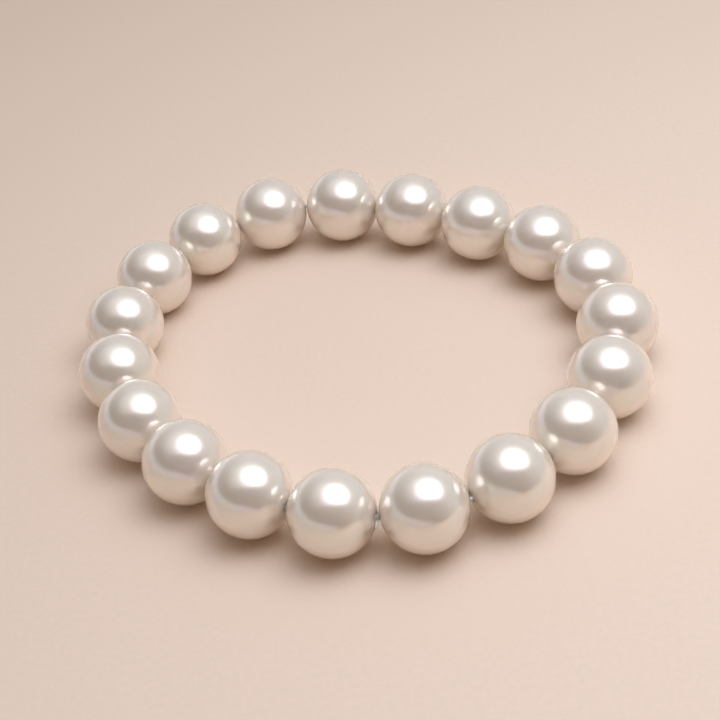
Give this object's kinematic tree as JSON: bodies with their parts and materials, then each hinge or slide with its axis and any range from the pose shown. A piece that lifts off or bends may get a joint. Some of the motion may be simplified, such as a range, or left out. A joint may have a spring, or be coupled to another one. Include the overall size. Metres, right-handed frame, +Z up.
{
  "type": "pearl bracelet",
  "caption": "Whole loop of round drilled imitation pearls, close together on one clear stretch elastic, lying flat in a slightly oval ring.",
  "frame": {"origin": "on the surface that it lies on, under the middle of the box round the pearls", "axes": "+Z up, square to the plane of the ring; +Y away from the side that the knot is on"},
  "size_m": [0.0714, 0.0724, 0.01],
  "materials": {
    "pearl": "cream white pearl coating over a glass core, smooth, with a satin lustre",
    "elastic": "clear smooth stretch cord"
  },
  "bodies": {
    "root": {"pearl_01": "pearl", "pearl_02": "pearl", "pearl_03": "pearl", "pearl_04": "pearl", "pearl_05": "pearl", "pearl_06": "pearl", "pearl_07": "pearl", "pearl_08": "pearl", "pearl_09": "pearl", "pearl_10": "pearl", "pearl_11": "pearl", "pearl_12": "pearl", "pearl_13": "pearl", "pearl_14": "pearl", "pearl_15": "pearl", "pearl_16": "pearl", "pearl_17": "pearl", "pearl_18": "pearl", "pearl_19": "pearl", "elastic": "elastic"}
  },
  "joints": []
}
